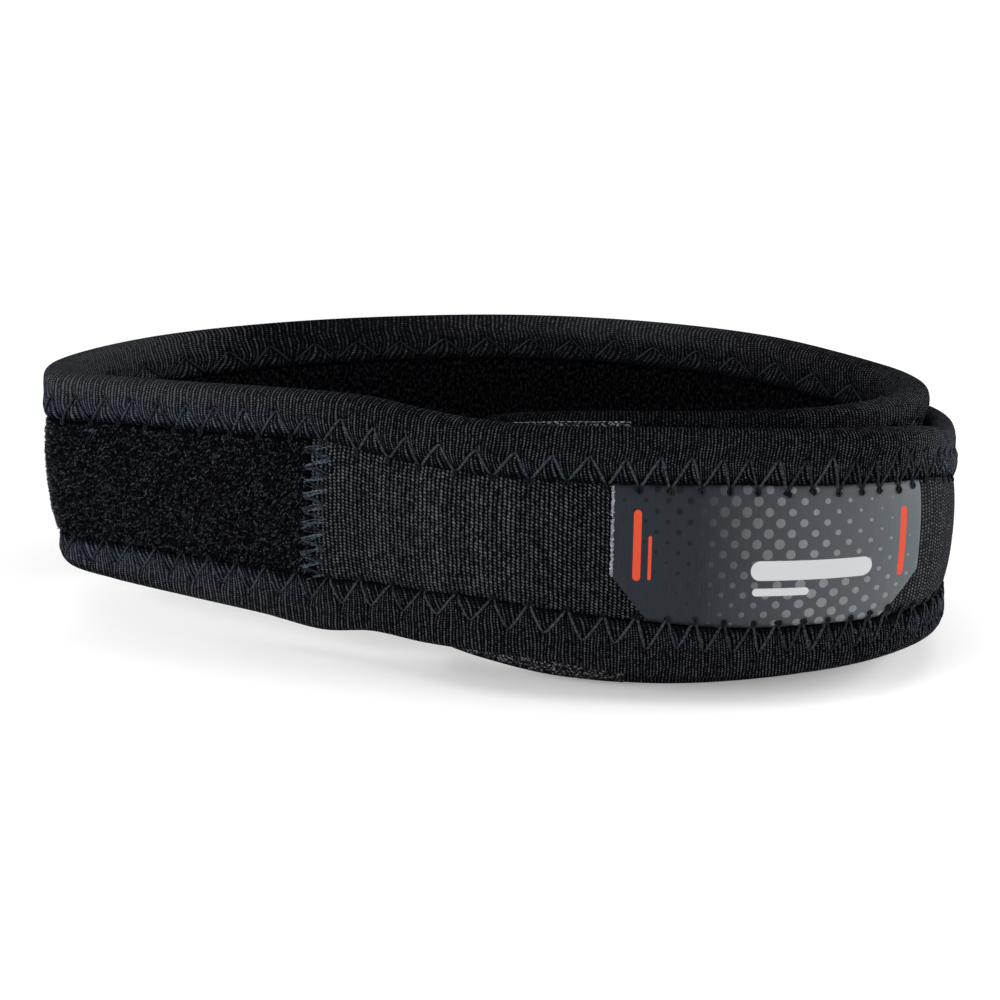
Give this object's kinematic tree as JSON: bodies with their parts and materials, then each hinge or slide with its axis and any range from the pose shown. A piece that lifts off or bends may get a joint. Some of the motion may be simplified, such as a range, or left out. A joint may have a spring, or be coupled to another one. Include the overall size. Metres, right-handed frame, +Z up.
{
  "type": "knee support strap",
  "caption": "Padded knee support strap wound into an open loop, with zigzag-bound edges, a pile panel and a plain label patch; it stands on its lower edge.",
  "frame": {"origin": "on the floor under the middle of the loop's box", "axes": "+X along the loop's long way, to the wearer's side with the label; +Y to the back of the loop; +Z up, along the leg"},
  "size_m": [0.1583, 0.0889, 0.0469],
  "materials": {
    "knit_face": "matte knitted jersey over foam",
    "rib_tape": "matte ribbed knit tape",
    "brushed_lining": "brushed loop fabric",
    "loop_pile": "looped pile",
    "satin_patch": "satin printed tape",
    "hook_tape": "woven hook tape with pale flecks"
  },
  "bodies": {
    "root": {"band": "knit_face", "upper_binding": "rib_tape", "lower_binding": "rib_tape", "lining": "brushed_lining", "pile_panel": "loop_pile", "label_patch": "satin_patch", "hook_tab": "hook_tape"}
  },
  "joints": []
}
